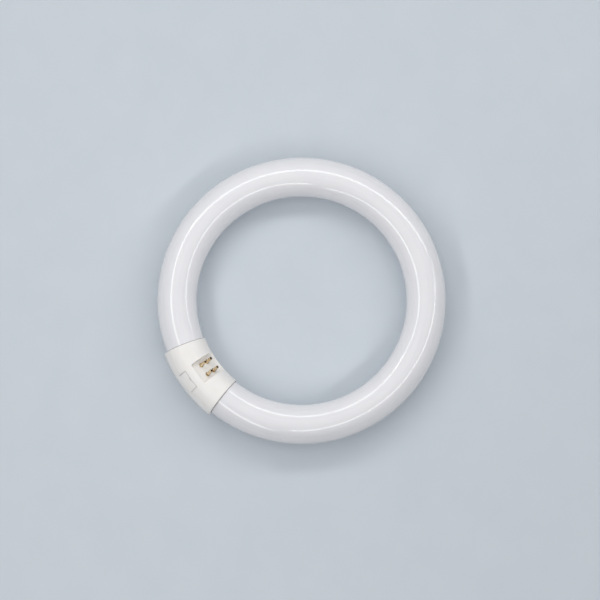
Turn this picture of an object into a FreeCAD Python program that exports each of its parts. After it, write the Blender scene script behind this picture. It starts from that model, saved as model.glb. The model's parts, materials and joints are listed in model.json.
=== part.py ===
import FreeCAD, Part
import math
import os

from FreeCAD import Placement, Rotation, Vector

# A circular fluorescent lamp of 22 W, lying flat. Millimetres, +Z up.
# The origin is the ring's centre, in the plane of the tube's axis circle.
# The plastic cap with the four contact pins is in the middle of the -Y side.
# Around the cap, a section has two directions of its own: "rise" points along
# the pins, inwards and up, and "across" is square to it, inwards and down.

# Glass ring
RING_OUTER_DIAMETER = 209.6
TUBE_DIAMETER = 28.6
GLASS_END_GAP = 23.0
GLASS_SHOULDER_RADIUS = 4.5
SEAL_MOUTH_DIAMETER = 18.0
SEAL_FLOOR_DIAMETER = 11.0
SEAL_DEPTH = 3.0
EXHAUST_TIP_DIAMETER = 3.6
EXHAUST_TIP_LENGTH = 5.2

# Plastic cap, closed round both ends of the glass
CAP_LENGTH = 46.6
CAP_WALL = 1.25
CAP_SHIFT_OUTWARD = 0.7
CAP_EDGE_RADIUS = 0.35
GLASS_CLEARANCE = 0.25
CAVITY_END_CLEARANCE = 0.9

# Recess for the lampholder, cut into the cap square to the pins
PIN_RISE_DEG = 55.0
RECESS_DEPTH = 4.2
RECESS_WIDTH = 16.0
RECESS_END_HEIGHT = 1.55
RECESS_WALL = 1.3
RECESS_CORNER_RADIUS = 0.8
RECESS_EDGE_RADIUS = 0.35
FLOOR_THICKNESS = 1.6

# Contact pins: hollow brass, riveted to the floor and crimped on the wires
PIN_SPACING_ALONG = 7.92
PIN_SPACING_ACROSS = 6.35
PIN_DIAMETER = 2.35
PIN_LENGTH = 6.3
PIN_BORE_DIAMETER = 1.15
PIN_NOSE_RADIUS = 0.45
PIN_HOLE_CLEARANCE = 0.03
COLLAR_DIAMETER = 3.3
COLLAR_HEIGHT = 0.7
RIVET_HEAD_DIAMETER = 3.1
RIVET_HEAD_HEIGHT = 0.5
TAIL_LENGTH = 1.8
CRIMP_FROM_TIP = 1.5
CRIMP_LENGTH = 1.1
CRIMP_DEPTH = 0.22

# Lead wires, from the seals in the glass to the pins
WIRE_DIAMETER = 0.7
WIRE_CLEARANCE = 0.02
WIRE_BEND_RADIUS = 4.2
WIRE_SEALED_LENGTH = 1.6

# Snap tongues, one outside and one inside the ring, which hold the cap shut
TONGUE_WIDTH = 12.4
TONGUE_RISE = 5.8
TONGUE_ROOT_DEPTH = 1.3
TONGUE_GAP = 0.3
PRY_NOTCH_WIDTH = 2.3
PRY_NOTCH_DEPTH = 0.9
LIP_THICKNESS = 1.1
LIP_CLEARANCE = 0.1
LIP_SIDE_MARGIN = 0.8
LIP_REACH_BELOW = 2.0
LIP_TOP_MARGIN = 1.8
BARB_WIDTH = 5.6
BARB_HEIGHT = 1.2
BARB_START = 1.1
BARB_DEPTH = 0.7
BARB_CLEARANCE = 0.2

# Ribs in the back shell, which stop the glass ends
STOP_RIB_THICKNESS = 1.2
STOP_RIB_HEIGHT = 3.4

# Sizes that follow from the ones above
TUBE_RADIUS = TUBE_DIAMETER / 2
AXIS_RADIUS = RING_OUTER_DIAMETER / 2 - TUBE_RADIUS
BORE_RADIUS = TUBE_RADIUS + GLASS_CLEARANCE
CAP_RADIUS = BORE_RADIUS + CAP_WALL
CAP_AXIS_RADIUS = AXIS_RADIUS + CAP_SHIFT_OUTWARD
CAVITY_RADIUS = CAP_RADIUS - CAP_WALL
CAVITY_HALF_LENGTH = GLASS_END_GAP / 2 - CAVITY_END_CLEARANCE
FLOOR_RISE = TUBE_RADIUS - RECESS_DEPTH
FLOOR_UNDERSIDE = FLOOR_RISE - FLOOR_THICKNESS
RISE = math.radians(PIN_RISE_DEG)
END_WALL_TOP = FLOOR_RISE + RECESS_END_HEIGHT + CAP_SHIFT_OUTWARD * math.cos(RISE)
RECESS_REACH = math.sqrt(CAP_RADIUS ** 2 - END_WALL_TOP ** 2) + CAP_SHIFT_OUTWARD * math.sin(RISE)
PIN_RADIUS = PIN_DIAMETER / 2
FAR = 2 * CAP_RADIUS
CUT_MARGIN = 0.5

ORIGIN = Vector(0, 0, 0)
UP = Vector(0, 0, 1)
RISE_AXIS = Vector(0, math.cos(RISE), math.sin(RISE))
ACROSS_AXIS = Vector(0, math.sin(RISE), -math.cos(RISE))
CAP_CENTRE = Vector(0, -AXIS_RADIUS, 0)
SPREAD_SIDES = (-1, 1)


def arc_angle(length):
    """Angle in degrees of an arc of this length on the tube's axis circle."""
    return math.degrees(length / AXIS_RADIUS)


def at_cap(along, across, rise):
    """Point given along the tube's tangent, across and along the pins."""
    return CAP_CENTRE + Vector(along, 0, 0) + ACROSS_AXIS * across + RISE_AXIS * rise


def disc(axis_radius, radius):
    """Round section face in the middle plane of the cap."""
    circle = Part.Circle(Vector(0, -axis_radius, 0), Vector(1, 0, 0), radius)
    return Part.Face(Part.Wire(circle.toShape()))


def ring(axis_radius, inner, outer):
    """Ring-shaped section face in the middle plane of the cap."""
    return disc(axis_radius, outer).cut(disc(axis_radius, inner))


def strip(across_from, across_to, rise_from, rise_to):
    """Rectangular section face, square to the pins, in the same plane."""
    corners = [
        at_cap(0, across_from, rise_from),
        at_cap(0, across_to, rise_from),
        at_cap(0, across_to, rise_to),
        at_cap(0, across_from, rise_to),
    ]
    return Part.Face(Part.makePolygon(corners + corners[:1]))


def swing(section, angle_from, angle_to):
    """Turn a section about the ring's axis, between two angles from the cap."""
    start = section.copy()
    start.rotate(ORIGIN, UP, angle_from)
    return start.revolve(ORIGIN, UP, angle_to - angle_from)


def swing_both_ways(section, half_length):
    """Turn a section about the ring's axis, as far on each side of the cap."""
    half_angle = arc_angle(half_length)
    return swing(section, -half_angle, half_angle)


def block(half_width, across_from, across_to, rise_from, rise_to):
    """Box in the cap's own directions, centred along the tube."""
    face = strip(across_from, across_to, rise_from, rise_to)
    face.translate(Vector(-half_width, 0, 0))
    return face.extrude(Vector(2 * half_width, 0, 0))


def stand(shape, foot, direction):
    """Move a shape from the origin and +Z to a foot point and direction."""
    placed = shape.copy()
    placed.Placement = Placement(foot, Rotation(UP, direction))
    return placed


def single_solid(shape):
    """The one solid of a result, with faces on one surface joined."""
    tidy = shape.removeSplitter()
    if len(tidy.Solids) != 1:
        raise ValueError(f"{len(tidy.Solids)} solids where one is meant")
    return tidy.Solids[0]


def glass_end(side):
    """Centre of one glass end, and the direction out of the glass there."""
    angle = math.radians(arc_angle(GLASS_END_GAP / 2))
    centre = Vector(side * math.sin(angle), -math.cos(angle), 0) * AXIS_RADIUS
    outwards = Vector(-side * math.cos(angle), -math.sin(angle), 0)
    return centre, outwards


def seal_funnel():
    """Hollow of the flared seal, opening up from its floor to the glass end."""
    floor = SEAL_FLOOR_DIAMETER / 2
    mouth = SEAL_MOUTH_DIAMETER / 2
    outline = [
        Vector(0, 0, -SEAL_DEPTH),
        Vector(floor, 0, -SEAL_DEPTH),
        Vector(mouth, 0, 0),
        Vector(mouth, 0, CUT_MARGIN),
        Vector(0, 0, CUT_MARGIN),
    ]
    face = Part.Face(Part.makePolygon(outline + outline[:1]))
    return face.revolve(ORIGIN, UP, 360)


def exhaust_tip():
    """Closed stub of the tube through which the lamp was filled."""
    radius = EXHAUST_TIP_DIAMETER / 2
    root = Vector(0, 0, -SEAL_DEPTH - radius)
    stem = Part.makeCylinder(radius, EXHAUST_TIP_LENGTH, root)
    dome = Part.makeSphere(radius, root + UP * EXHAUST_TIP_LENGTH)
    return stem.fuse(dome)


def wire_section(along, across, radius):
    """Round face square to the tube's tangent, on a wire's first run."""
    circle = Part.Circle(at_cap(along, across, 0), Vector(1, 0, 0), radius)
    return Part.Face(Part.Wire(circle.toShape()))


def lead_wire(side, across, radius):
    """Wire from the seal to a pin: a run along the tube, a bend, a run up."""
    foot = side * PIN_SPACING_ALONG / 2
    seal = side * (glass_end(1)[0].x + SEAL_DEPTH + WIRE_SEALED_LENGTH)
    bend_start = foot + side * WIRE_BEND_RADIUS
    bend_top = at_cap(foot, across, WIRE_BEND_RADIUS)
    rise_length = FLOOR_RISE + PIN_LENGTH - CRIMP_FROM_TIP - WIRE_BEND_RADIUS
    run = wire_section(seal, across, radius).extrude(Vector(bend_start - seal, 0, 0))
    bend_centre = at_cap(bend_start, across, WIRE_BEND_RADIUS)
    bend = wire_section(bend_start, across, radius).revolve(bend_centre, ACROSS_AXIS, side * 90)
    rise = Part.makeCylinder(radius, rise_length, bend_top, RISE_AXIS)
    return run.fuse([bend, rise])


def glass_tube():
    """Sealed glass ring, open by the end gap, with a flared seal at each end."""
    half_gap = arc_angle(GLASS_END_GAP / 2)
    tube = swing(disc(AXIS_RADIUS, TUBE_RADIUS), half_gap, 360 - half_gap)
    rims = [edge for edge in tube.Edges if is_end_rim(edge)]
    tube = tube.makeFillet(GLASS_SHOULDER_RADIUS, rims)
    for side in SPREAD_SIDES:
        centre, outwards = glass_end(side)
        tube = tube.cut(stand(seal_funnel(), centre, outwards))
        tube = tube.fuse(stand(exhaust_tip(), centre, outwards))
    for side, across in pin_places():
        tube = tube.cut(lead_wire(side, across, WIRE_DIAMETER / 2 + WIRE_CLEARANCE))
    return single_solid(tube)


def is_end_rim(edge):
    """True for the full circles where the tube meets its two end faces."""
    round_edge = isinstance(edge.Curve, Part.Circle)
    return round_edge and math.isclose(edge.Curve.Radius, TUBE_RADIUS, rel_tol=1e-6)


def pin_places():
    """Side along the tube and distance across, for each of the four pins."""
    half = PIN_SPACING_ACROSS / 2
    return [(side, across) for side in SPREAD_SIDES for across in (-half, half)]


def pin_half():
    """Section area on the pins' side of the line where the cap parts."""
    return strip(-FAR, FAR, 0, FAR)


def back_half():
    """Section area on the other side of that line."""
    return strip(-FAR, FAR, -FAR, 0)


def cap_wall(half):
    """Wall of one half of the cap, round the middle chamber and the glass ends."""
    outside = disc(CAP_AXIS_RADIUS, CAP_RADIUS).common(half)
    wall = swing_both_ways(outside.cut(disc(CAP_AXIS_RADIUS, CAVITY_RADIUS)), CAVITY_HALF_LENGTH)
    for side in SPREAD_SIDES:
        low, high = sorted((side * arc_angle(CAVITY_HALF_LENGTH), side * arc_angle(CAP_LENGTH / 2)))
        wall = wall.fuse(swing(outside.cut(disc(AXIS_RADIUS, BORE_RADIUS)), low, high))
    rims = [edge for edge in wall.Edges if is_cap_rim(edge)]
    return wall.makeFillet(CAP_EDGE_RADIUS, rims)


def is_cap_rim(edge):
    """True for an outer arc at one of the cap's two ends."""
    if not isinstance(edge.Curve, Part.Circle):
        return False
    outer = math.isclose(edge.Curve.Radius, CAP_RADIUS, rel_tol=1e-6)
    end = CAP_AXIS_RADIUS * math.sin(math.radians(arc_angle(CAP_LENGTH / 2)))
    return outer and math.isclose(abs(edge.Curve.Center.x), end, rel_tol=1e-6)


def latch_band(inner, outer, side, rise_from, rise_to, half_width):
    """Piece of the cap's wall beside the parting, outside or inside the ring."""
    edge = strip(*sorted((0, side * FAR)), rise_from, rise_to)
    section = ring(CAP_AXIS_RADIUS, inner, outer).common(edge)
    return swing_both_ways(section, half_width)


def tongue(side):
    """Springy tongue of the back shell, flush with the cap's outside."""
    half = TONGUE_WIDTH / 2
    body = latch_band(CAVITY_RADIUS, CAP_RADIUS, side, -TONGUE_ROOT_DEPTH, TONGUE_RISE, half)
    notch = latch_band(
        CAVITY_RADIUS - CUT_MARGIN,
        FAR,
        side,
        TONGUE_RISE - PRY_NOTCH_DEPTH,
        TONGUE_RISE + CUT_MARGIN,
        PRY_NOTCH_WIDTH / 2,
    )
    barb = latch_band(
        CAVITY_RADIUS - BARB_DEPTH,
        CAVITY_RADIUS + CAP_WALL / 2,
        side,
        BARB_START,
        BARB_START + BARB_HEIGHT,
        BARB_WIDTH / 2,
    )
    return body.fuse(barb).cut(notch)


def tongue_opening(side):
    """Opening round the tongue, cut in the walls of both shells."""
    return latch_band(
        CAVITY_RADIUS - LIP_CLEARANCE,
        FAR,
        side,
        -TONGUE_ROOT_DEPTH,
        TONGUE_RISE + TONGUE_GAP,
        TONGUE_WIDTH / 2 + TONGUE_GAP,
    )


def backing_lip(side):
    """Lip of the pin shell behind the tongue, with the barb's window."""
    half = TONGUE_WIDTH / 2 + TONGUE_GAP + LIP_SIDE_MARGIN
    top = TONGUE_RISE + TONGUE_GAP + LIP_TOP_MARGIN
    inner = CAVITY_RADIUS - LIP_CLEARANCE - LIP_THICKNESS
    lip = latch_band(
        inner, CAVITY_RADIUS - LIP_CLEARANCE, side, -LIP_REACH_BELOW, top, half
    )
    root = latch_band(
        inner, CAVITY_RADIUS + CAP_WALL / 2, side, TONGUE_RISE + TONGUE_GAP, top, half
    )
    window = latch_band(
        inner - CUT_MARGIN,
        CAVITY_RADIUS,
        side,
        BARB_START - BARB_CLEARANCE,
        BARB_START + BARB_HEIGHT + BARB_CLEARANCE,
        BARB_WIDTH / 2 + BARB_CLEARANCE,
    )
    return lip.fuse(root).cut(window)


def pin_holes():
    """Round holes in the recess floor, one for each pin."""
    radius = PIN_RADIUS + PIN_HOLE_CLEARANCE
    holes = []
    for side, across in pin_places():
        foot = at_cap(side * PIN_SPACING_ALONG / 2, across, FLOOR_UNDERSIDE - CUT_MARGIN)
        depth = FLOOR_THICKNESS + 2 * CUT_MARGIN
        holes.append(Part.makeCylinder(radius, depth, foot, RISE_AXIS))
    return holes


def recess_space():
    """Space of the recess, walled at its outer end and open inside the ring."""
    space = block(RECESS_WIDTH / 2, -RECESS_REACH, FAR, FLOOR_RISE, FAR)
    corners = [edge for edge in space.Edges if is_end_corner(edge)]
    return space.makeFillet(RECESS_CORNER_RADIUS, corners)


def is_end_corner(edge):
    """True for a corner between the recess's end wall and a side wall."""
    first, last = [vertex.Point - CAP_CENTRE for vertex in edge.Vertexes]
    in_end_wall = math.isclose((first + last).dot(ACROSS_AXIS), -2 * RECESS_REACH)
    return in_end_wall and math.isclose(first.x, last.x)


def is_recess_rim(edge):
    """True for an edge where the recess's walls meet the cap's outside."""
    if isinstance(edge.Curve, Part.Line):
        return False
    ends = [vertex.Point - CAP_CENTRE for vertex in edge.Vertexes]
    in_recess = all(abs(end.x) < RECESS_WIDTH / 2 + CUT_MARGIN for end in ends)
    return in_recess and any(end.dot(RISE_AXIS) > FLOOR_RISE + RECESS_EDGE_RADIUS for end in ends)


def housing_space():
    """Block that the recess's floor and its two side walls are cut out of."""
    return block(RECESS_WIDTH / 2 + RECESS_WALL, -FAR, FAR, FLOOR_UNDERSIDE, FAR)


def recess_housing():
    """Floor and walls of the recess, as far out as the outside of the cap."""
    solid = swing_both_ways(disc(CAP_AXIS_RADIUS, CAP_RADIUS).common(pin_half()), CAP_LENGTH / 2)
    housing = solid.common(housing_space()).cut(recess_space())
    rims = [edge for edge in housing.Edges if is_recess_rim(edge)]
    return housing.makeFillet(RECESS_EDGE_RADIUS, rims)


def cap_pin_shell():
    """Half of the cap that holds the pins, hollow beside and under the recess."""
    shell = cap_wall(pin_half()).cut(housing_space()).fuse(recess_housing())
    for side in SPREAD_SIDES:
        shell = shell.cut(tongue_opening(side))
        shell = shell.fuse(backing_lip(side))
    for hole in pin_holes():
        shell = shell.cut(hole)
    return single_solid(shell)


def stop_rib(side):
    """Crescent rib that stands in front of one glass end."""
    crescent = ring(CAP_AXIS_RADIUS, CAVITY_RADIUS - STOP_RIB_HEIGHT, CAVITY_RADIUS + CAP_WALL / 2)
    crescent = crescent.common(back_half())
    far_side = CAVITY_HALF_LENGTH
    near_side = far_side - STOP_RIB_THICKNESS
    low, high = sorted((side * arc_angle(near_side), side * arc_angle(far_side)))
    return swing(crescent, low, high)


def cap_back_shell():
    """Half of the cap behind the tube, with the tongues and the stop ribs."""
    shell = cap_wall(back_half())
    for side in SPREAD_SIDES:
        shell = shell.fuse(stop_rib(side))
        shell = shell.cut(tongue_opening(side))
        shell = shell.fuse(tongue(side))
    return single_solid(shell)


def pin_profile():
    """Half outline of a pin about its own axis, with the floor at zero."""
    bore = PIN_BORE_DIAMETER / 2
    throat = WIRE_DIAMETER / 2 + WIRE_CLEARANCE
    collar = COLLAR_DIAMETER / 2
    head = RIVET_HEAD_DIAMETER / 2
    crimp_top = PIN_LENGTH - CRIMP_FROM_TIP
    crimp_foot = crimp_top - CRIMP_LENGTH
    taper = bore - throat
    return [
        (bore, -FLOOR_THICKNESS - TAIL_LENGTH),
        (PIN_RADIUS, -FLOOR_THICKNESS - TAIL_LENGTH),
        (PIN_RADIUS, -FLOOR_THICKNESS - RIVET_HEAD_HEIGHT),
        (head, -FLOOR_THICKNESS - RIVET_HEAD_HEIGHT),
        (head, -FLOOR_THICKNESS),
        (PIN_RADIUS, -FLOOR_THICKNESS),
        (PIN_RADIUS, 0),
        (collar, 0),
        (collar, COLLAR_HEIGHT),
        (PIN_RADIUS, COLLAR_HEIGHT),
        (PIN_RADIUS, PIN_LENGTH),
        (bore, PIN_LENGTH),
        (bore, crimp_top + taper),
        (throat, crimp_top),
        (throat, crimp_foot),
        (bore, crimp_foot - taper),
    ]


def contact_pin(side, across):
    """Hollow pin, held by collar and rivet head, with its nose rounded."""
    outline = [Vector(radius, 0, height) for radius, height in pin_profile()]
    face = Part.Face(Part.makePolygon(outline + outline[:1]))
    pin = face.revolve(ORIGIN, UP, 360)
    noses = [edge for edge in pin.Edges if is_nose(edge)]
    pin = pin.makeFillet(PIN_NOSE_RADIUS, noses)
    middle = PIN_LENGTH - CRIMP_FROM_TIP - CRIMP_LENGTH / 2
    jaw_radius = (CRIMP_LENGTH ** 2 / 4 + CRIMP_DEPTH ** 2) / (2 * CRIMP_DEPTH)
    for jaw in SPREAD_SIDES:
        reach = jaw * (PIN_RADIUS - CRIMP_DEPTH + jaw_radius)
        foot = Vector(reach, -PIN_DIAMETER, middle)
        pin = pin.cut(Part.makeCylinder(jaw_radius, 2 * PIN_DIAMETER, foot, Vector(0, 1, 0)))
    foot = at_cap(side * PIN_SPACING_ALONG / 2, across, FLOOR_RISE)
    return single_solid(stand(pin, foot, RISE_AXIS))


def is_nose(edge):
    """True for the outer circle at the tip of an unplaced pin."""
    if not isinstance(edge.Curve, Part.Circle):
        return False
    outer = math.isclose(edge.Curve.Radius, PIN_RADIUS, rel_tol=1e-6)
    return outer and math.isclose(edge.Curve.Center.z, PIN_LENGTH, rel_tol=1e-6)


def build_nodes():
    """Every piece of the lamp, by node name."""
    nodes = {
        "glass_tube": glass_tube(),
        "cap_pin_shell": cap_pin_shell(),
        "cap_back_shell": cap_back_shell(),
    }
    for number, (side, across) in enumerate(pin_places(), start=1):
        nodes[f"contact_pin_{number}"] = contact_pin(side, across)
        nodes[f"lead_wire_{number}"] = single_solid(lead_wire(side, across, WIRE_DIAMETER / 2))
    return nodes


os.makedirs("parts", exist_ok=True)
for name, shape in build_nodes().items():
    shape.exportStep(f"parts/{name}.step")
    box = shape.BoundBox
    print(f"{name}: volume {shape.Volume:.1f} mm3, valid {shape.isValid()},"
          f" x {box.XMin:.2f} to {box.XMax:.2f}, y {box.YMin:.2f} to {box.YMax:.2f},"
          f" z {box.ZMin:.2f} to {box.ZMax:.2f}")
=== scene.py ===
"""Looks of a circular fluorescent lamp of 22 W that lies flat and is seen from above.

The glass ring and the four hollow contact pins are surfaces worked out with
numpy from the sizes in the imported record. The two shells of the plastic cap
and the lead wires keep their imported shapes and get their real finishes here.
Lengths are in metres, and MM turns a size in millimetres into metres.
"""

import json
import logging
import math
from collections.abc import Mapping
from dataclasses import dataclass
from enum import Enum, IntEnum
from typing import Any, Protocol

import bpy
import bmesh
import numpy as np
from mathutils import Matrix, Vector
from numpy.typing import NDArray

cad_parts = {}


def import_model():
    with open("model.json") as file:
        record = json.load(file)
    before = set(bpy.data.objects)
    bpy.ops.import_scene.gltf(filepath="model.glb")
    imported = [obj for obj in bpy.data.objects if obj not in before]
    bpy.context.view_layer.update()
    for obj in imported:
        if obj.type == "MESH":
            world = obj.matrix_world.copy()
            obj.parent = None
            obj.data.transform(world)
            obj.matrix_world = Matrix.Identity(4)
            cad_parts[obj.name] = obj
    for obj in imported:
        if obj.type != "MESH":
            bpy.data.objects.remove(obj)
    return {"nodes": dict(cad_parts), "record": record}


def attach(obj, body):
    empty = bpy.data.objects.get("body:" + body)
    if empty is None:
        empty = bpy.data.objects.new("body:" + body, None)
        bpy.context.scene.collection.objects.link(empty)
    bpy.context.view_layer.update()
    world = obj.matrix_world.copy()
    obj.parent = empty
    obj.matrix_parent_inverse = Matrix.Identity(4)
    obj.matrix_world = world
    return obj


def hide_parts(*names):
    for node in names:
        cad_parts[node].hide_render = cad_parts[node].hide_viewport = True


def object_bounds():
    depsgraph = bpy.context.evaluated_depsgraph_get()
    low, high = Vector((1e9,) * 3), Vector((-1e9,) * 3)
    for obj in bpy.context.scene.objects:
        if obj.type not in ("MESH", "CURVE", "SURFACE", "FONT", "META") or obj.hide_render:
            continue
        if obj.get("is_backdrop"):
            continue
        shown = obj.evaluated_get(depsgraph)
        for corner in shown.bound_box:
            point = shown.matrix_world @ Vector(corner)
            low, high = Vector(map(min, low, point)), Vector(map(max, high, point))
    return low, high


FloatArray = NDArray[np.float64]
Colour = tuple[float, float, float, float]
Span = tuple[float, float]

LOG = logging.getLogger("lamp")
MM = 0.001
MERGE_DISTANCE = 1e-7
# The circle round which the cap is swept is larger than the tube's by this much.
CAP_SHIFT = 0.7 * MM
# The pins' attribute that says where they are oxidised, from 0 to 1.
OXIDE_MARK = "oxide"
# A wave texture turns by this many radians in each unit of scaled distance.
WAVE_TURN = 20.0


def linear(hex_colour: str) -> Colour:
    """Turn an sRGB hex colour into the linear RGBA that shaders use.

    Each channel c up to 0.04045 is divided by 12.92, and above that it is
    ((c + 0.055) / 1.055) raised to 2.4.

    Args:
        hex_colour: Colour such as "#F1F2F6".

    Returns:
        Red, green and blue from 0 to 1, and an alpha of 1.
    """
    digits = hex_colour.lstrip("#")
    coded = np.array([int(digits[start:start + 2], 16) / 255 for start in (0, 2, 4)])
    low = coded / 12.92
    high = ((coded + 0.055) / 1.055) ** 2.4
    red, green, blue = np.where(coded <= 0.04045, low, high)
    return float(red), float(green), float(blue), 1.0


def add_node(
    tree: bpy.types.NodeTree,
    kind: str,
    inputs: Mapping[str | int, Any] | None = None,
    **settings: Any,
) -> bpy.types.Node:
    """Add a node to a tree, with its settings, socket values and links.

    Args:
        tree: Node tree of a material or the world.
        kind: Blender's type name of the node.
        inputs: Value, or output socket to link, for each input socket.
        **settings: Properties of the node.

    Returns:
        The new node.
    """
    node = tree.nodes.new(kind)
    for name, value in settings.items():
        setattr(node, name, value)
    for socket, value in (inputs or {}).items():
        if isinstance(value, bpy.types.NodeSocket):
            tree.links.new(value, node.inputs[socket])
        else:
            node.inputs[socket].default_value = value
    return node


class MixSocket(IntEnum):
    """Numbers of the sockets that a Mix node uses for colours."""

    SHARE = 0
    FIRST = 6
    SECOND = 7
    RESULT = 2


def blend(
    tree: bpy.types.NodeTree,
    share: bpy.types.NodeSocket,
    first: bpy.types.NodeSocket | str,
    second: str,
) -> bpy.types.NodeSocket:
    """Add a mix of two colours to a tree.

    Args:
        tree: Node tree of a material.
        share: Share of the second colour, from 0 to 1.
        first: Socket that gives the first colour, or an sRGB hex colour.
        second: The second colour, in sRGB hex.

    Returns:
        The mixed colour.
    """
    mix = add_node(
        tree, "ShaderNodeMix",
        {
            MixSocket.SHARE: share,
            MixSocket.FIRST: linear(first) if isinstance(first, str) else first,
            MixSocket.SECOND: linear(second),
        },
        data_type="RGBA",
    )
    return mix.outputs[MixSocket.RESULT]


def remap(
    tree: bpy.types.NodeTree,
    value: bpy.types.NodeSocket,
    source: Span = (0.0, 1.0),
    target: Span = (0.0, 1.0),
    **settings: Any,
) -> bpy.types.NodeSocket:
    """Add a map from one span of values to another, which holds at its ends.

    Args:
        tree: Node tree of a material or the world.
        value: Value to map.
        source: Values that become the target's first and last.
        target: What they become.
        **settings: Properties of the node.

    Returns:
        The mapped value.
    """
    mapped = add_node(
        tree, "ShaderNodeMapRange",
        {
            "Value": value,
            "From Min": source[0],
            "From Max": source[1],
            "To Min": target[0],
            "To Max": target[1],
        },
        **settings,
    )
    return mapped.outputs["Result"]


def calculate(
    tree: bpy.types.NodeTree, operation: str, *values: bpy.types.NodeSocket | float
) -> bpy.types.NodeSocket:
    """Add an operation on one or two values to a tree.

    Args:
        tree: Node tree of a material or the world.
        operation: Blender's name of the operation.
        *values: The values, or sockets that give them.

    Returns:
        The result.
    """
    inputs = dict(enumerate(values))
    return add_node(tree, "ShaderNodeMath", inputs, operation=operation).outputs["Value"]


def length_of(
    tree: bpy.types.NodeTree, vector: bpy.types.NodeSocket
) -> bpy.types.NodeSocket:
    """Add the length of a vector to a tree.

    Args:
        tree: Node tree of a material.
        vector: The vector.

    Returns:
        Its length.
    """
    node = add_node(tree, "ShaderNodeVectorMath", {0: vector}, operation="LENGTH")
    return node.outputs["Value"]


def bump(
    tree: bpy.types.NodeTree, relief: bpy.types.NodeSocket, height: float
) -> bpy.types.NodeSocket:
    """Add a bump to a tree.

    Args:
        tree: Node tree of a material.
        relief: Relief from 0 to 1.
        height: Height of a full relief in metres.

    Returns:
        The bent normal.
    """
    bent = add_node(tree, "ShaderNodeBump", {"Height": relief, "Distance": height})
    return bent.outputs["Normal"]


@dataclass(frozen=True)
class Clouds:
    """Cloudy noise: its clouds' size, its finer layers and their strength.

    A finish's levels are values of such noise between which a mark grows from
    its first share to its last.
    """

    size: float
    layers: float
    strength: float

    def add(
        self, tree: bpy.types.NodeTree, place: bpy.types.NodeSocket
    ) -> bpy.types.NodeSocket:
        """Add the noise to a tree.

        Args:
            tree: Node tree of a material.
            place: Coordinates that the noise reads.

        Returns:
            The noise, from 0 to 1.
        """
        noise = add_node(
            tree, "ShaderNodeTexNoise",
            {
                "Vector": place,
                "Scale": 1 / self.size,
                "Detail": self.layers,
                "Roughness": self.strength,
            },
        )
        return noise.outputs["Fac"]


class Finish(Protocol):
    """A surface finish that can be made into a material."""

    def material(self) -> bpy.types.Material:
        """Build the finish's material."""


def empty_material(name: str) -> bpy.types.Material:
    """Make a material with an empty node tree.

    Args:
        name: Name of the real material and of how it was worked.

    Returns:
        The material.
    """
    material = bpy.data.materials.new(name)
    material.use_nodes = True
    material.node_tree.nodes.clear()
    return material


@dataclass(frozen=True)
class CoatedGlass:
    """Drawn soda-lime glass tube, coated inside with white phosphor powder.

    The powder gives an even, slightly bluish white with faint clouds where
    the slurry drained thinner, and the fire-polished glass over it gives a
    sharp gloss that wavers a little along the drawn tube. A dark line of dust
    and painted shade lies on the glass along the cap's rim, whose distance from
    the middle of the tube's length is the first field. The drained marks have a
    noise of size 1, because their length and spacing already scale the map that
    it reads.
    """

    cap_rim: float
    name: str = "soda_lime_glass_drawn_phosphor_coated"
    thick_powder: str = "#F1F1F4"
    thin_powder: str = "#EBEBEF"
    drain_mark: str = "#E3E5EA"
    # Colour of the dark line of dust and painted shade along the cap's rim.
    rim_dust_and_shade: str = "#6E625C"
    roughness: float = 0.045
    ior: float = 1.52
    powder_clouds: Clouds = Clouds(size=16 * MM, layers=3.0, strength=0.5)
    drain_length: float = 60 * MM
    drain_spacing: float = 2.2 * MM
    drain_clouds: Clouds = Clouds(size=1.0, layers=2.0, strength=0.4)
    drain_levels: Span = (0.5, 0.8)
    drain_shares: Span = (0.0, 0.5)
    glass_waves: Clouds = Clouds(size=24 * MM, layers=1.0, strength=0.3)
    wave_height: float = 0.012 * MM
    dust_and_shade_width: float = 0.8 * MM
    dust_and_shade_shares: Span = (0.85, 0.0)

    def material(self) -> bpy.types.Material:
        """Build the powder-white material with its wavy gloss.

        Returns:
            The material, which reads the ring's UV map, in metres from the
            middle of the tube's length and around it, and Object coordinates
            for the clouds and the waves.
        """
        material = empty_material(self.name)
        tree = material.node_tree
        place = add_node(tree, "ShaderNodeTexCoord").outputs
        clouds = self.powder_clouds.add(tree, place["Object"])
        powder = blend(tree, clouds, self.thick_powder, self.thin_powder)
        stretch = add_node(
            tree, "ShaderNodeMapping",
            {
                "Vector": place["UV"],
                "Scale": (1 / self.drain_length, 1 / self.drain_spacing, 1.0),
            },
        )
        drains = self.drain_clouds.add(tree, stretch.outputs["Vector"])
        drained = remap(tree, drains, self.drain_levels, self.drain_shares)
        coating = blend(tree, drained, powder, self.drain_mark)
        # Dust and painted shade: a dark line on the glass at the cap's rim, fading over a set width
        # to each side.
        along = add_node(tree, "ShaderNodeSeparateXYZ", {"Vector": place["UV"]})
        from_middle = calculate(tree, "ABSOLUTE", along.outputs["X"])
        beyond_rim = calculate(tree, "SUBTRACT", from_middle, self.cap_rim)
        off_rim = calculate(tree, "ABSOLUTE", beyond_rim)
        dust_and_shade = remap(tree, off_rim, (0.0, self.dust_and_shade_width), self.dust_and_shade_shares)
        waves = self.glass_waves.add(tree, place["Object"])
        shader = add_node(
            tree, "ShaderNodeBsdfPrincipled",
            {
                "Base Color": blend(tree, dust_and_shade, coating, self.rim_dust_and_shade),
                "Roughness": self.roughness,
                "IOR": self.ior,
                "Normal": bump(tree, waves, self.wave_height),
            },
        )
        add_node(tree, "ShaderNodeOutputMaterial", {"Surface": shader.outputs["BSDF"]})
        return material


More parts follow.
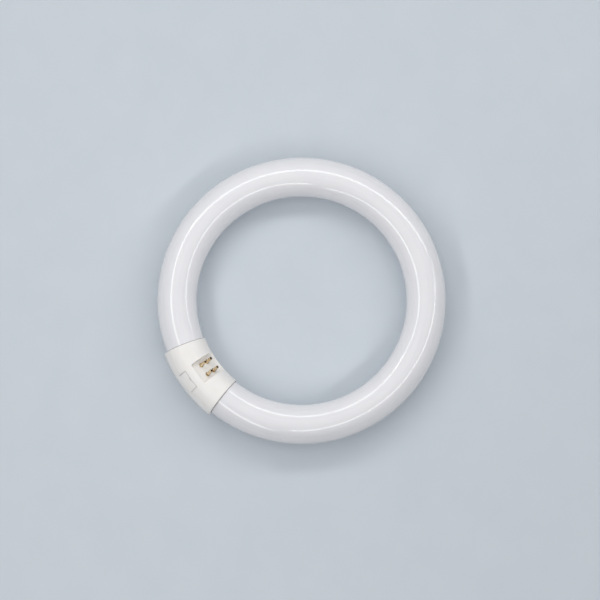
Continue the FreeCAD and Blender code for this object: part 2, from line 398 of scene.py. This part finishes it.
@dataclass(frozen=True)
class MouldedPolybutylene:
    """Warm white PBT plastic, injection-moulded in a spark-eroded mould.

    The mould's fine grit makes the plastic matte, and light goes a little way
    into it, which softens its edges. Painted shade darkens the outer part of its
    narrow gaps, where less than a set share of the surroundings is open. The
    first field is the radius of the circle round which the cap is swept.
    """

    circle_radius: float
    name: str = "pbt_plastic_injection_moulded_white"
    body: str = "#FAF7F5"
    flow_mark: str = "#F6F3EF"
    # Colour of the painted shade in the narrow gaps.
    gap_shade: str = "#7A746B"
    roughness: Span = (0.42, 0.54)
    ior: float = 1.53
    flow_clouds: Clouds = Clouds(size=11 * MM, layers=4.0, strength=0.55)
    grit_clouds: Clouds = Clouds(size=0.35 * MM, layers=2.0, strength=0.6)
    grit_height: float = 0.006 * MM
    glow: float = 0.35
    glow_depth: float = 1.2 * MM
    glow_reach: tuple[float, float, float] = (1.0, 0.95, 0.85)
    # Painted shade in the gaps: how far the AO node looks, its samples, the openness below which it
    # darkens, and the radii from the cap's circle over which it grows.
    gap_reach: float = 1.0 * MM
    gap_samples: int = 8
    shaded_openness: float = 0.45
    shaded_radii: Span = (14.75 * MM, 15.0 * MM)

    def off_circle(
        self, tree: bpy.types.NodeTree, place: bpy.types.NodeSocket
    ) -> bpy.types.NodeSocket:
        """Add a place's distance from the cap's circle to a tree.

        With the circle's radius R and the length L of (x, y, 0), it is the
        length of (L - R, z, 0).

        Args:
            tree: Node tree of a material.
            place: The place.

        Returns:
            The distance in metres.
        """
        level = add_node(
            tree, "ShaderNodeVectorMath", {0: place, 1: (1.0, 1.0, 0.0)}, operation="MULTIPLY",
        )
        reach = length_of(tree, level.outputs["Vector"])
        beyond = calculate(tree, "SUBTRACT", reach, self.circle_radius)
        height = add_node(tree, "ShaderNodeSeparateXYZ", {"Vector": place}).outputs["Z"]
        section = add_node(tree, "ShaderNodeCombineXYZ", {"X": beyond, "Y": height})
        return length_of(tree, section.outputs["Vector"])

    def material(self) -> bpy.types.Material:
        """Build the matte plastic with its grit, flow clouds and painted shade in its gaps.

        Returns:
            The material, which reads Object coordinates.
        """
        material = empty_material(self.name)
        tree = material.node_tree
        place = add_node(tree, "ShaderNodeTexCoord").outputs
        clouds = self.flow_clouds.add(tree, place["Object"])
        plastic = blend(tree, clouds, self.body, self.flow_mark)
        # Painted shade: the colour darkens where the AO node finds the surface closed in, on the
        # outer part of the cap only.
        openness = add_node(
            tree, "ShaderNodeAmbientOcclusion",
            {"Distance": self.gap_reach},
            samples=self.gap_samples,
        )
        narrow = remap(tree, openness.outputs["AO"], (0.0, self.shaded_openness), (1.0, 0.0))
        outer = remap(tree, self.off_circle(tree, place["Object"]), self.shaded_radii)
        dust_and_shade = calculate(tree, "MULTIPLY", narrow, outer)
        grit = self.grit_clouds.add(tree, place["Object"])
        shader = add_node(
            tree, "ShaderNodeBsdfPrincipled",
            {
                "Base Color": blend(tree, dust_and_shade, plastic, self.gap_shade),
                "Roughness": remap(tree, grit, target=self.roughness),
                "IOR": self.ior,
                "Subsurface Weight": self.glow,
                "Subsurface Radius": self.glow_reach,
                "Subsurface Scale": self.glow_depth,
                "Normal": bump(tree, grit, self.grit_height),
            },
        )
        add_node(tree, "ShaderNodeOutputMaterial", {"Surface": shader.outputs["BSDF"]})
        return material


@dataclass(frozen=True)
class TurnedBrass:
    """Drawn brass tube, turned and left bare, gone brown where it was handled.

    The tool leaves fine rings round each pin, and the air has dulled the
    yellow in patches. The bore and the pinched place are dark with oxide.
    """

    pin_axis: tuple[float, float, float]
    name: str = "brass_turned_tarnished"
    bright: str = "#FBE8C4"
    tarnished: str = "#9E8058"
    oxide: str = "#523820"
    roughness: Span = (0.18, 0.44)
    patch_clouds: Clouds = Clouds(size=1.3 * MM, layers=4.0, strength=0.6)
    patch_levels: Span = (0.42, 0.66)
    ring_spacing: float = 0.16 * MM
    ring_waver: float = 0.6
    ring_height: float = 0.0012 * MM

    def material(self) -> bpy.types.Material:
        """Build the brass with its turning rings and its tarnish.

        Returns:
            The material, which reads Object coordinates turned so that Z
            runs along the pins, and the attribute that marks the oxide.
        """
        material = empty_material(self.name)
        tree = material.node_tree
        place = add_node(tree, "ShaderNodeTexCoord").outputs
        patches = self.patch_clouds.add(tree, place["Object"])
        tarnish = remap(tree, patches, self.patch_levels)
        metal = blend(tree, tarnish, self.bright, self.tarnished)
        oxidised = add_node(tree, "ShaderNodeAttribute", attribute_name=OXIDE_MARK)
        upright = Vector(self.pin_axis).rotation_difference(Vector((0.0, 0.0, 1.0)))
        along_pin = add_node(
            tree, "ShaderNodeMapping",
            {"Vector": place["Object"], "Rotation": tuple(upright.to_euler())},
        )
        rings = add_node(
            tree, "ShaderNodeTexWave",
            {
                "Vector": along_pin.outputs["Vector"],
                "Scale": 2 * math.pi / (WAVE_TURN * self.ring_spacing),
                "Distortion": self.ring_waver,
            },
            wave_type="BANDS", bands_direction="Z",
        )
        shader = add_node(
            tree, "ShaderNodeBsdfPrincipled",
            {
                "Base Color": blend(tree, oxidised.outputs["Fac"], metal, self.oxide),
                "Metallic": 1.0,
                "Roughness": remap(tree, tarnish, target=self.roughness),
                "Normal": bump(tree, rings.outputs["Fac"], self.ring_height),
            },
        )
        add_node(tree, "ShaderNodeOutputMaterial", {"Surface": shader.outputs["BSDF"]})
        return material


@dataclass(frozen=True)
class DrawnWire:
    """Nickel-iron lead wire, drawn through a die and slightly oxidised.

    Drawing leaves it satin grey, with darker spots of oxide from the sealing.
    """

    name: str = "nickel_iron_wire_drawn"
    clean: str = "#B4B2AE"
    oxide: str = "#6F6962"
    roughness: Span = (0.38, 0.63)
    spot_clouds: Clouds = Clouds(size=0.9 * MM, layers=3.0, strength=0.6)
    spot_levels: Span = (0.45, 0.75)

    def material(self) -> bpy.types.Material:
        """Build the satin metal with its oxide spots.

        Returns:
            The material, which reads Object coordinates.
        """
        material = empty_material(self.name)
        tree = material.node_tree
        place = add_node(tree, "ShaderNodeTexCoord").outputs
        clouds = self.spot_clouds.add(tree, place["Object"])
        spots = remap(tree, clouds, self.spot_levels)
        shader = add_node(
            tree, "ShaderNodeBsdfPrincipled",
            {
                "Base Color": blend(tree, spots, self.clean, self.oxide),
                "Metallic": 1.0,
                "Roughness": remap(tree, spots, target=self.roughness),
            },
        )
        add_node(tree, "ShaderNodeOutputMaterial", {"Surface": shader.outputs["BSDF"]})
        return material


@dataclass(frozen=True)
class PaintedFloor:
    """Smooth board, rolled with pale matte paint, on which the lamp lies.

    Far from the lamp, the camera sees the plain paint with no shade on it, so
    that the floor runs evenly into the background.
    """

    name: str = "emulsion_paint_rolled_pale"
    paint: str = "#CDD4DB"
    roller_mark: str = "#C8D0D8"
    roughness: float = 0.8
    roller_clouds: Clouds = Clouds(size=25 * MM, layers=2.0, strength=0.5)
    fade_distances: Span = (0.3, 1.1)

    def material(self) -> bpy.types.Material:
        """Build the pale matte paint.

        Returns:
            The material, which reads Object coordinates.
        """
        material = empty_material(self.name)
        tree = material.node_tree
        place = add_node(tree, "ShaderNodeTexCoord").outputs
        clouds = self.roller_clouds.add(tree, place["Object"])
        shader = add_node(
            tree, "ShaderNodeBsdfPrincipled",
            {
                "Base Color": blend(tree, clouds, self.paint, self.roller_mark),
                "Roughness": self.roughness,
            },
        )
        away = length_of(tree, place["Object"])
        fade = remap(tree, away, self.fade_distances, interpolation_type="SMOOTHSTEP")
        ray = add_node(tree, "ShaderNodeLightPath")
        seen = calculate(tree, "MULTIPLY", fade, ray.outputs["Is Camera Ray"])
        even = add_node(tree, "ShaderNodeEmission", {"Color": linear(self.paint)})
        surface = add_node(
            tree, "ShaderNodeMixShader",
            {0: seen, 1: shader.outputs["BSDF"], 2: even.outputs["Emission"]},
        )
        add_node(tree, "ShaderNodeOutputMaterial", {"Surface": surface.outputs["Shader"]})
        return material


class Closing(Enum):
    """How the rows of a surface's grid end."""

    LOOP = "the last row joins the first"
    POLES = "the first and the last row are single points"


def grid_faces(rows: int, columns: int, closing: Closing) -> NDArray[np.int64]:
    """Corner numbers of the quads of a grid whose columns close in a loop.

    Point number is row times columns, plus column. A quad takes a point, its
    neighbour in the next row, the one beyond in the next column, and back.

    Args:
        rows: Number of rows.
        columns: Number of points in a row.
        closing: LOOP adds the quads from the last row to the first.

    Returns:
        One row of four corner numbers for each quad.
    """
    row = np.arange(rows if closing is Closing.LOOP else rows - 1)[:, None]
    column = np.arange(columns)[None, :]
    next_row = (row + 1) % rows
    next_column = (column + 1) % columns
    corners = [
        row * columns + column,
        next_row * columns + column,
        next_row * columns + next_column,
        row * columns + next_column,
    ]
    return np.stack(corners, axis=-1).reshape(-1, 4)


def surface_object(
    name: str,
    points: FloatArray,
    closing: Closing,
    crease: float,
    chart: FloatArray | None = None,
    marks: Mapping[str, FloatArray] | None = None,
) -> bpy.types.Object:
    """Make a smooth mesh object from a grid of points.

    Args:
        name: Name of the object and of its mesh.
        points: Places, as rows by columns by three.
        closing: How the rows end.
        crease: Angle in radians over which an edge stays sharp.
        chart: Map coordinates, as rows by columns plus one by two, so that the
            last column's far side has a value of its own.
        marks: Named values for the materials to read, as rows by columns.

    Returns:
        The object, at the origin, in the scene.
    """
    rows, columns = points.shape[:2]
    faces = grid_faces(rows, columns, closing)
    mesh = bpy.data.meshes.new(name)
    mesh.from_pydata(points.reshape(-1, 3), [], faces)
    if chart is not None:
        row, column = np.divmod(np.arange(len(faces)), columns)
        corner_rows = np.stack([row, row + 1, row + 1, row], axis=-1)
        corner_columns = np.stack([column, column, column + 1, column + 1], axis=-1)
        layer = mesh.uv_layers.new(name="along_and_around")
        layer.data.foreach_set("uv", chart[corner_rows, corner_columns].ravel())
    for mark, values in (marks or {}).items():
        attribute = mesh.attributes.new(mark, "FLOAT", "POINT")
        attribute.data.foreach_set("value", np.broadcast_to(values, (rows, columns)).ravel())
    work = bmesh.new()
    work.from_mesh(mesh)
    bmesh.ops.remove_doubles(work, verts=work.verts, dist=MERGE_DISTANCE)
    work.to_mesh(mesh)
    work.free()
    mesh.shade_smooth()
    mesh.set_sharp_from_angle(angle=crease)
    piece = bpy.data.objects.new(name, mesh)
    bpy.context.scene.collection.objects.link(piece)
    return piece


def arc(
    centre: tuple[float, float], radius: float, start_deg: float, end_deg: float, steps: int
) -> FloatArray:
    """Points of a circular arc: the centre plus radius times (cos a, sin a).

    Args:
        centre: The arc's centre.
        radius: Its radius.
        start_deg: First angle in degrees.
        end_deg: Last angle in degrees.
        steps: Number of stretches, one less than the number of points.

    Returns:
        The points, as rows of two.
    """
    angle = np.radians(np.linspace(start_deg, end_deg, steps + 1))
    return np.column_stack([centre[0] + radius * np.cos(angle), centre[1] + radius * np.sin(angle)])


@dataclass(frozen=True)
class LampFrame:
    """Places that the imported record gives: the tube's circle and the pins."""

    axis_radius: float
    tube_radius: float
    pins: tuple[Mapping[str, Any], ...]

    @classmethod
    def from_record(cls, record: Mapping[str, Any]) -> "LampFrame":
        """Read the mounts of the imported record.

        Args:
            record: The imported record.

        Returns:
            The frame, with the pins in the order of their nodes.
        """
        mounts = {mount["name"]: mount for mount in record["mounts"]}
        seat = mounts["clip_seat_far"]
        pins = tuple(mounts[name] for name in sorted(mounts) if name.startswith("contact_pin"))
        return cls(
            axis_radius=float(np.hypot(*seat["pos_m"][:2])),
            tube_radius=seat["dims"]["r_mm"] * MM,
            pins=pins,
        )

    @property
    def pin_axis(self) -> tuple[float, float, float]:
        """Direction in which all the pins point."""
        return tuple(self.pins[0]["axis"])


@dataclass
class GlassRing:
    """Glass tube bent into a ring, with a sunken seal and a tip at each end."""

    frame: LampFrame
    end_gap: float = 23.0 * MM
    cap_length: float = 46.6 * MM
    shoulder_radius: float = 4.5 * MM
    seal_mouth_radius: float = 9.0 * MM
    seal_floor_radius: float = 5.5 * MM
    seal_depth: float = 3.0 * MM
    tip_radius: float = 1.8 * MM
    tip_dome_ahead: float = 0.4 * MM
    tip_steps: int = 10
    shoulder_steps: int = 14
    rows_along: int = 400
    columns_around: int = 96
    crease: float = math.radians(40)

    @property
    def length(self) -> float:
        """Length of the glass along the axis circle."""
        return 2 * math.pi * self.frame.axis_radius - self.end_gap

    def end_profile(self) -> FloatArray:
        """Half outline of one glass end, from the middle of its tip outwards.

        Each point is the distance from the glass's end face, positive into
        the tube, and the distance from the tube's axis. A dome and a straight
        stem make the tip, then come the seal's floor, its cone, the flat end
        face and the round shoulder.

        Returns:
            The points, as rows of two.
        """
        dome = arc((-self.tip_dome_ahead, 0.0), self.tip_radius, 180, 90, self.tip_steps)
        floor = np.array([
            [self.seal_depth, self.tip_radius],
            [self.seal_depth, self.seal_floor_radius],
            [0.0, self.seal_mouth_radius],
        ])
        bend = self.shoulder_radius
        flat_radius = self.frame.tube_radius - bend
        shoulder = arc((bend, flat_radius), bend, 180, 90, self.shoulder_steps)
        return np.vstack([dome, floor, shoulder])

    def profile(self) -> FloatArray:
        """Outline of the whole tube, from one tip's middle to the other's.

        Returns:
            The points, as rows of two.
        """
        near = self.end_profile()
        far = near[::-1] * [-1, 1] + [self.length, 0]
        along = np.linspace(near[-1, 0], far[0, 0], self.rows_along)[1:-1]
        middle = np.column_stack([along, np.full(len(along), self.frame.tube_radius)])
        return np.vstack([near, middle, far])

    def build(self) -> bpy.types.Object:
        """Carry the outline round the ring.

        With the outline's radius r, the axis circle's radius A, an angle p
        round the tube, and the outline's place along the tube as an angle t
        round the ring, a point is at ((A + r cos p) cos t, (A + r cos p) sin t,
        r sin p). The angle t is -90 degrees at the middle of the cap.

        Returns:
            The glass ring.
        """
        along, radius = self.profile().T
        circle = self.frame.axis_radius
        turn = -math.pi / 2 + (along + self.end_gap / 2) / circle
        around = np.linspace(-math.pi / 2, 1.5 * math.pi, self.columns_around + 1)
        reach = circle + radius[:, None] * np.cos(around[:-1])
        height = radius[:, None] * np.sin(around[:-1])
        points = np.stack(
            [reach * np.cos(turn)[:, None], reach * np.sin(turn)[:, None], height], axis=-1
        )
        from_middle = along[:, None] - self.length / 2
        chart = np.stack(np.broadcast_arrays(from_middle, self.frame.tube_radius * around), axis=-1)
        ring = surface_object("glass_ring", points, Closing.POLES, self.crease, chart)
        finish = CoatedGlass(cap_rim=(self.length + self.end_gap - self.cap_length) / 2)
        ring.data.materials.append(finish.material())
        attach(ring, "root")
        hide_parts("glass_tube")
        return ring


@dataclass
class ContactPins:
    """Four hollow brass pins, riveted into the cap and crimped on the wires."""

    frame: LampFrame
    nose_radius: float = 0.45 * MM
    bore_radius: float = 0.575 * MM
    throat_radius: float = 0.37 * MM
    mouth_lip: float = 0.12 * MM
    collar_radius: float = 1.65 * MM
    collar_height: float = 0.7 * MM
    collar_edge: float = 0.12 * MM
    head_radius: float = 1.55 * MM
    head_height: float = 0.5 * MM
    floor_thickness: float = 1.6 * MM
    tail_length: float = 1.8 * MM
    crimp_from_tip: float = 1.5 * MM
    crimp_length: float = 1.1 * MM
    crimp_depth: float = 0.22 * MM
    crimp_oxide: float = 0.85
    corner_oxide: float = 0.8
    edge_steps: int = 4
    nose_steps: int = 8
    rows_per_side: int = 40
    columns_around: int = 64
    crease: float = math.radians(38)

    def outline(self, radius: float, length: float) -> FloatArray:
        """Closed half outline of a pin, as distance from its axis and height.

        The height is zero on the recess's floor. The outline goes up the
        outside, over the rounded nose, and down the bore through the throat.

        Args:
            radius: The pin's radius.
            length: Its whole height above the floor.

        Returns:
            The points, as rows of two.
        """
        under = -self.floor_thickness
        tail = under - self.tail_length
        edge = self.collar_edge
        edge_centre = (self.collar_radius - edge, self.collar_height - edge)
        collar = np.vstack([
            [[self.collar_radius, 0.0]],
            arc(edge_centre, edge, 0, 90, self.edge_steps),
            [[radius, self.collar_height]],
        ])
        foot = np.array([
            [self.bore_radius, tail],
            [radius, tail],
            [radius, under - self.head_height],
            [self.head_radius, under - self.head_height],
            [self.head_radius, under],
            [radius, under],
            [radius, 0.0],
        ])
        nose_height = length - self.nose_radius
        shaft_height = np.linspace(self.collar_height, nose_height, self.rows_per_side)[1:-1]
        shaft = np.column_stack([np.full(len(shaft_height), radius), shaft_height])
        nose_centre = (radius - self.nose_radius, nose_height)
        nose = arc(nose_centre, self.nose_radius, 0, 90, self.nose_steps)
        lip = self.mouth_lip
        mouth = arc((self.bore_radius + lip, length - lip), lip, 90, 180, self.edge_steps)
        throat_top = length - self.crimp_from_tip
        throat_foot = throat_top - self.crimp_length
        taper = self.bore_radius - self.throat_radius
        bore = np.array([
            [self.bore_radius, throat_top + taper],
            [self.throat_radius, throat_top],
            [self.throat_radius, throat_foot],
            [self.bore_radius, throat_foot - taper],
        ])
        return np.vstack([foot, collar, shaft, nose, mouth, bore])

    def squeeze(self, height: FloatArray, length: float) -> FloatArray:
        """Depth of the crimp at each height: a smooth dip, half a cosine wide.

        Args:
            height: Heights above the recess's floor.
            length: The pin's whole height above the floor.

        Returns:
            The dip in metres, zero outside the crimp.
        """
        middle = length - self.crimp_from_tip - self.crimp_length / 2
        offset = np.clip((height - middle) / (self.crimp_length / 2), -1, 1)
        return self.crimp_depth * np.cos(offset * math.pi / 2)

    def build_one(
        self, number: int, mount: Mapping[str, Any], brass: bpy.types.Material
    ) -> bpy.types.Object:
        """Turn the outline round the pin's axis, and dent it from two sides.

        With the outline's radius r and height h, the dip d at that height, and
        an angle p, a point is at foot + (r - d cos² p) cos p along the tube,
        r sin p across it and h along the pin. Only the outside is dented. The
        bore, the pinched place and the corners at the collar are oxidised.

        Args:
            number: The pin's number, as in its node's name.
            mount: The pin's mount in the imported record.
            brass: The finish.

        Returns:
            The pin.
        """
        rise = np.array(mount["axis"])
        along = np.array([1.0, 0.0, 0.0])
        across = np.cross(rise, along)
        radius = mount["dims"]["r_mm"] * MM
        straight = mount["dims"]["length_mm"] * MM
        length = self.collar_height + straight + self.nose_radius
        foot = np.array(mount["pos_m"]) - rise * (straight / 2 + self.collar_height)
        reach, height = self.outline(radius, length).T
        outside = reach > (radius + self.bore_radius) / 2
        dip = np.where(outside, self.squeeze(height, length), 0.0)
        around = np.linspace(0, 2 * math.pi, self.columns_around, endpoint=False)
        pressed = reach[:, None] - dip[:, None] * np.cos(around) ** 2
        points = (
            foot
            + (pressed * np.cos(around))[..., None] * along
            + (reach[:, None] * np.sin(around))[..., None] * across
            + height[:, None, None] * rise
        )
        in_bore = ~outside & (height > self.collar_height)
        pinched = (dip / self.crimp_depth)[:, None] * np.cos(around) ** 2
        collar_foot = np.isclose(height, 0.0) & (reach > radius)
        shaft_foot = np.isclose(height, self.collar_height) & np.isclose(reach, radius)
        dark_rows = in_bore + self.corner_oxide * (collar_foot + shaft_foot)
        oxide = np.maximum(dark_rows[:, None], self.crimp_oxide * pinched)
        marks = {OXIDE_MARK: oxide[:, ::-1]}
        pin = surface_object(
            f"brass_pin_{number}", points[:, ::-1], Closing.LOOP, self.crease, marks=marks,
        )
        pin.data.materials.append(brass)
        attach(pin, "root")
        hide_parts(f"contact_pin_{number}")
        return pin

    def build(self) -> list[bpy.types.Object]:
        """Build the four pins, with one finish between them.

        Returns:
            The pins, in the order of their nodes.
        """
        brass = TurnedBrass(self.frame.pin_axis).material()
        numbered = enumerate(self.frame.pins, start=1)
        return [self.build_one(number, mount, brass) for number, mount in numbered]


@dataclass
class PackedPieces:
    """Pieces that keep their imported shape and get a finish."""

    nodes: Mapping[str, bpy.types.Object]
    names: tuple[str, ...]
    finish: Finish

    def dress(self) -> list[bpy.types.Object]:
        """Put the finish on each piece.

        Returns:
            The dressed pieces.
        """
        material = self.finish.material()
        pieces = [self.nodes[name] for name in self.names]
        for piece in pieces:
            piece.data.materials.clear()
            piece.data.materials.append(material)
        return pieces


def heading(angle_deg: float) -> Vector:
    """Level direction at an angle from +X, counterclockwise from above.

    Args:
        angle_deg: The angle in degrees.

    Returns:
        The direction, of length 1.
    """
    angle = math.radians(angle_deg)
    return Vector((math.cos(angle), math.sin(angle), 0.0))


@dataclass(frozen=True)
class StripSoftbox:
    """Long, narrow softbox that hangs level to one side over the lamp.

    It faces the lamp from the picture's angle, which is counted from the right,
    counterclockwise, and is then slid that way along its own length.
    """

    name: str
    picture_angle_deg: float
    radiance: float
    distance: float
    length: float
    width: float
    slide: float
    zenith_deg: float = 37.0

    def build(self, up_deg: float) -> bpy.types.Object:
        """Hang the softbox.

        A flat lamp of area A needs a power of pi times A times its radiance.

        Args:
            up_deg: The object's own direction that is up in the picture.

        Returns:
            The light.
        """
        zenith = math.radians(self.zenith_deg)
        towards = heading(up_deg - 90 + self.picture_angle_deg)
        place = (towards * math.sin(zenith) + Vector((0, 0, math.cos(zenith)))) * self.distance
        data = bpy.data.lights.new(self.name, "AREA")
        data.shape = "RECTANGLE"
        data.size = self.length
        data.size_y = self.width
        data.energy = math.pi * self.length * self.width * self.radiance
        softbox = bpy.data.objects.new(self.name, data)
        turn = place.to_track_quat("Z", "Y").to_matrix().to_4x4()
        slid = place + Vector((0, 0, 1)).cross(towards) * self.slide
        softbox.matrix_world = Matrix.Translation(slid) @ turn
        bpy.context.scene.collection.objects.link(softbox)
        return softbox


@dataclass
class Studio:
    """Floor, soft light and camera, as seen from over the lamp.

    In the picture, the lamp's -Y side, with the cap, points to the lower left.
    The lowest height of the lamp is that of the cap's underside.
    """

    frame: LampFrame
    lowest: float
    picture_width: float = 436.0 * MM
    picture_pixels: int = 600
    centre_pixel: tuple[float, float] = (301.6, 300.3)
    up_deg: float = 143.6
    lean_deg: float = 6.7
    camera_distance: float = 3.0
    sensor_width_mm: float = 36.0
    floor_radius: float = 12.0
    floor_clearance: float = 0.1 * MM
    floor_corners: int = 96
    softboxes: tuple[StripSoftbox, ...] = (
        StripSoftbox(
            "softbox_above", picture_angle_deg=94.0, radiance=4.1,
            distance=0.75, length=1.54, width=0.12, slide=-0.3,
        ),
        StripSoftbox(
            "softbox_left", picture_angle_deg=189.0, radiance=3.8,
            distance=0.75, length=1.58, width=0.12, slide=0.23,
        ),
        StripSoftbox(
            "softbox_right", picture_angle_deg=311.0, radiance=4.6,
            distance=1.4, length=3.5, width=0.165, slide=0.84,
        ),
    )
    light_colour: str = "#FFFFFF"
    bright_side_deg: float = 120.0
    side_bias: float = 0.65
    wall_zenith_deg: Span = (20.0, 75.0)
    overhead_level: float = 0.48
    wall_level: float = 0.22

    def build_camera(self) -> bpy.types.Object:
        """Place a long lens over the lamp, leaning to the picture's foot.

        Returns:
            The camera, made the scene's own.
        """
        up = heading(self.up_deg)
        right = heading(self.up_deg - 90)
        middle = self.picture_pixels / 2
        pixel = self.picture_width / self.picture_pixels
        to_right = (middle - self.centre_pixel[0]) * pixel
        upwards = (self.centre_pixel[1] - middle) * pixel
        aim = right * to_right + up * upwards
        lean = math.radians(self.lean_deg)
        back = Vector((0.0, 0.0, math.cos(lean))) - up * math.sin(lean)
        turn = Matrix((right, back.cross(right), back)).transposed().to_4x4()
        data = bpy.data.cameras.new("camera")
        data.sensor_width = self.sensor_width_mm
        data.lens = self.sensor_width_mm * self.camera_distance / self.picture_width
        data.clip_end = self.floor_radius
        camera = bpy.data.objects.new("camera", data)
        camera.matrix_world = Matrix.Translation(aim + back * self.camera_distance) @ turn
        bpy.context.scene.collection.objects.link(camera)
        bpy.context.scene.camera = camera
        return camera

    def build_floor(self) -> bpy.types.Object:
        """Lay a floor just under the cap's underside and the far glass.

        The lamp rests on its thicker cap and on the glass opposite, so the
        floor's plane lies under both: its height grows evenly with y.

        Returns:
            The floor.
        """
        circle = self.frame.axis_radius
        slope = (-self.frame.tube_radius - self.lowest) / (2 * circle)
        around = np.linspace(0, 2 * math.pi, self.floor_corners, endpoint=False)
        x, y = self.floor_radius * np.cos(around), self.floor_radius * np.sin(around)
        height = self.lowest - self.floor_clearance + (y + circle) * slope
        points = np.column_stack([x, y, height])
        mesh = bpy.data.meshes.new("floor")
        mesh.from_pydata(points, [], [list(range(len(points)))])
        floor = bpy.data.objects.new("floor", mesh)
        floor.data.materials.append(PaintedFloor().material())
        bpy.context.scene.collection.objects.link(floor)
        floor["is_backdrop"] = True
        return floor

    def build_world(self) -> bpy.types.World:
        """Surround the lamp with a pale ceiling that darkens to the walls.

        The level falls smoothly with the angle from the zenith. It is then
        multiplied by one plus the bias times the cosine of the angle from the
        bright side. What the camera sees directly is as pale as the floor.

        Returns:
            The world, made the scene's own.
        """
        world = bpy.data.worlds.new("studio")
        world.use_nodes = True
        tree = world.node_tree
        tree.nodes.clear()
        direction = add_node(tree, "ShaderNodeTexCoord")
        height = add_node(tree, "ShaderNodeSeparateXYZ", {"Vector": direction.outputs["Generated"]})
        angle = calculate(tree, "ARCCOSINE", height.outputs["Z"])
        start, end = (math.radians(limit) for limit in self.wall_zenith_deg)
        level = remap(
            tree, angle, (start, end), (self.overhead_level, self.wall_level),
            interpolation_type="SMOOTHSTEP",
        )
        bright_side = heading(self.up_deg - 90 + self.bright_side_deg) * self.side_bias
        facing = add_node(
            tree, "ShaderNodeVectorMath",
            {0: direction.outputs["Generated"], 1: tuple(bright_side)},
            operation="DOT_PRODUCT",
        )
        share = calculate(tree, "ADD", facing.outputs["Value"], 1.0)
        biased = calculate(tree, "MULTIPLY", level, share)
        ray = add_node(tree, "ShaderNodeLightPath")
        light = add_node(
            tree, "ShaderNodeBackground",
            {"Color": linear(self.light_colour), "Strength": biased},
        )
        seen = add_node(tree, "ShaderNodeBackground", {"Color": linear(PaintedFloor.paint)})
        surface = add_node(
            tree, "ShaderNodeMixShader",
            {
                0: ray.outputs["Is Camera Ray"],
                1: light.outputs["Background"],
                2: seen.outputs["Background"],
            },
        )
        add_node(tree, "ShaderNodeOutputWorld", {"Surface": surface.outputs["Shader"]})
        bpy.context.scene.world = world
        return world

    def build(self) -> None:
        """Set up the camera, the floor, the light and the view transform."""
        self.build_camera()
        self.build_floor()
        for softbox in self.softboxes:
            softbox.build(self.up_deg)
        self.build_world()
        bpy.context.scene.view_settings.view_transform = "Standard"


def corners(bounds: Any) -> list[list[float]]:
    """Turn a pair of corners into plain lists of numbers.

    Args:
        bounds: The lowest and the highest corner of a box.

    Returns:
        The same corners.
    """
    return [[float(value) for value in corner] for corner in bounds]


def main() -> None:
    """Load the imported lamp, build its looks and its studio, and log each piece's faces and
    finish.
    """
    logging.basicConfig(level=logging.INFO, format="%(message)s")
    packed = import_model()
    cad_box = corners(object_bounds())
    frame = LampFrame.from_record(packed["record"])
    wires = tuple(f"lead_wire_{number}" for number in range(1, len(frame.pins) + 1))
    shells = ("cap_pin_shell", "cap_back_shell")
    pieces = [GlassRing(frame).build()]
    pieces += ContactPins(frame).build()
    plastic = MouldedPolybutylene(circle_radius=frame.axis_radius + CAP_SHIFT)
    pieces += PackedPieces(packed["nodes"], shells, plastic).dress()
    pieces += PackedPieces(packed["nodes"], wires, DrawnWire()).dress()
    Studio(frame, lowest=cad_box[0][2]).build()
    for piece in pieces:
        mesh = piece.data
        LOG.info("%s: %d faces, %s", piece.name, len(mesh.polygons), mesh.materials[0].name)


if __name__ == "__main__":
    main()
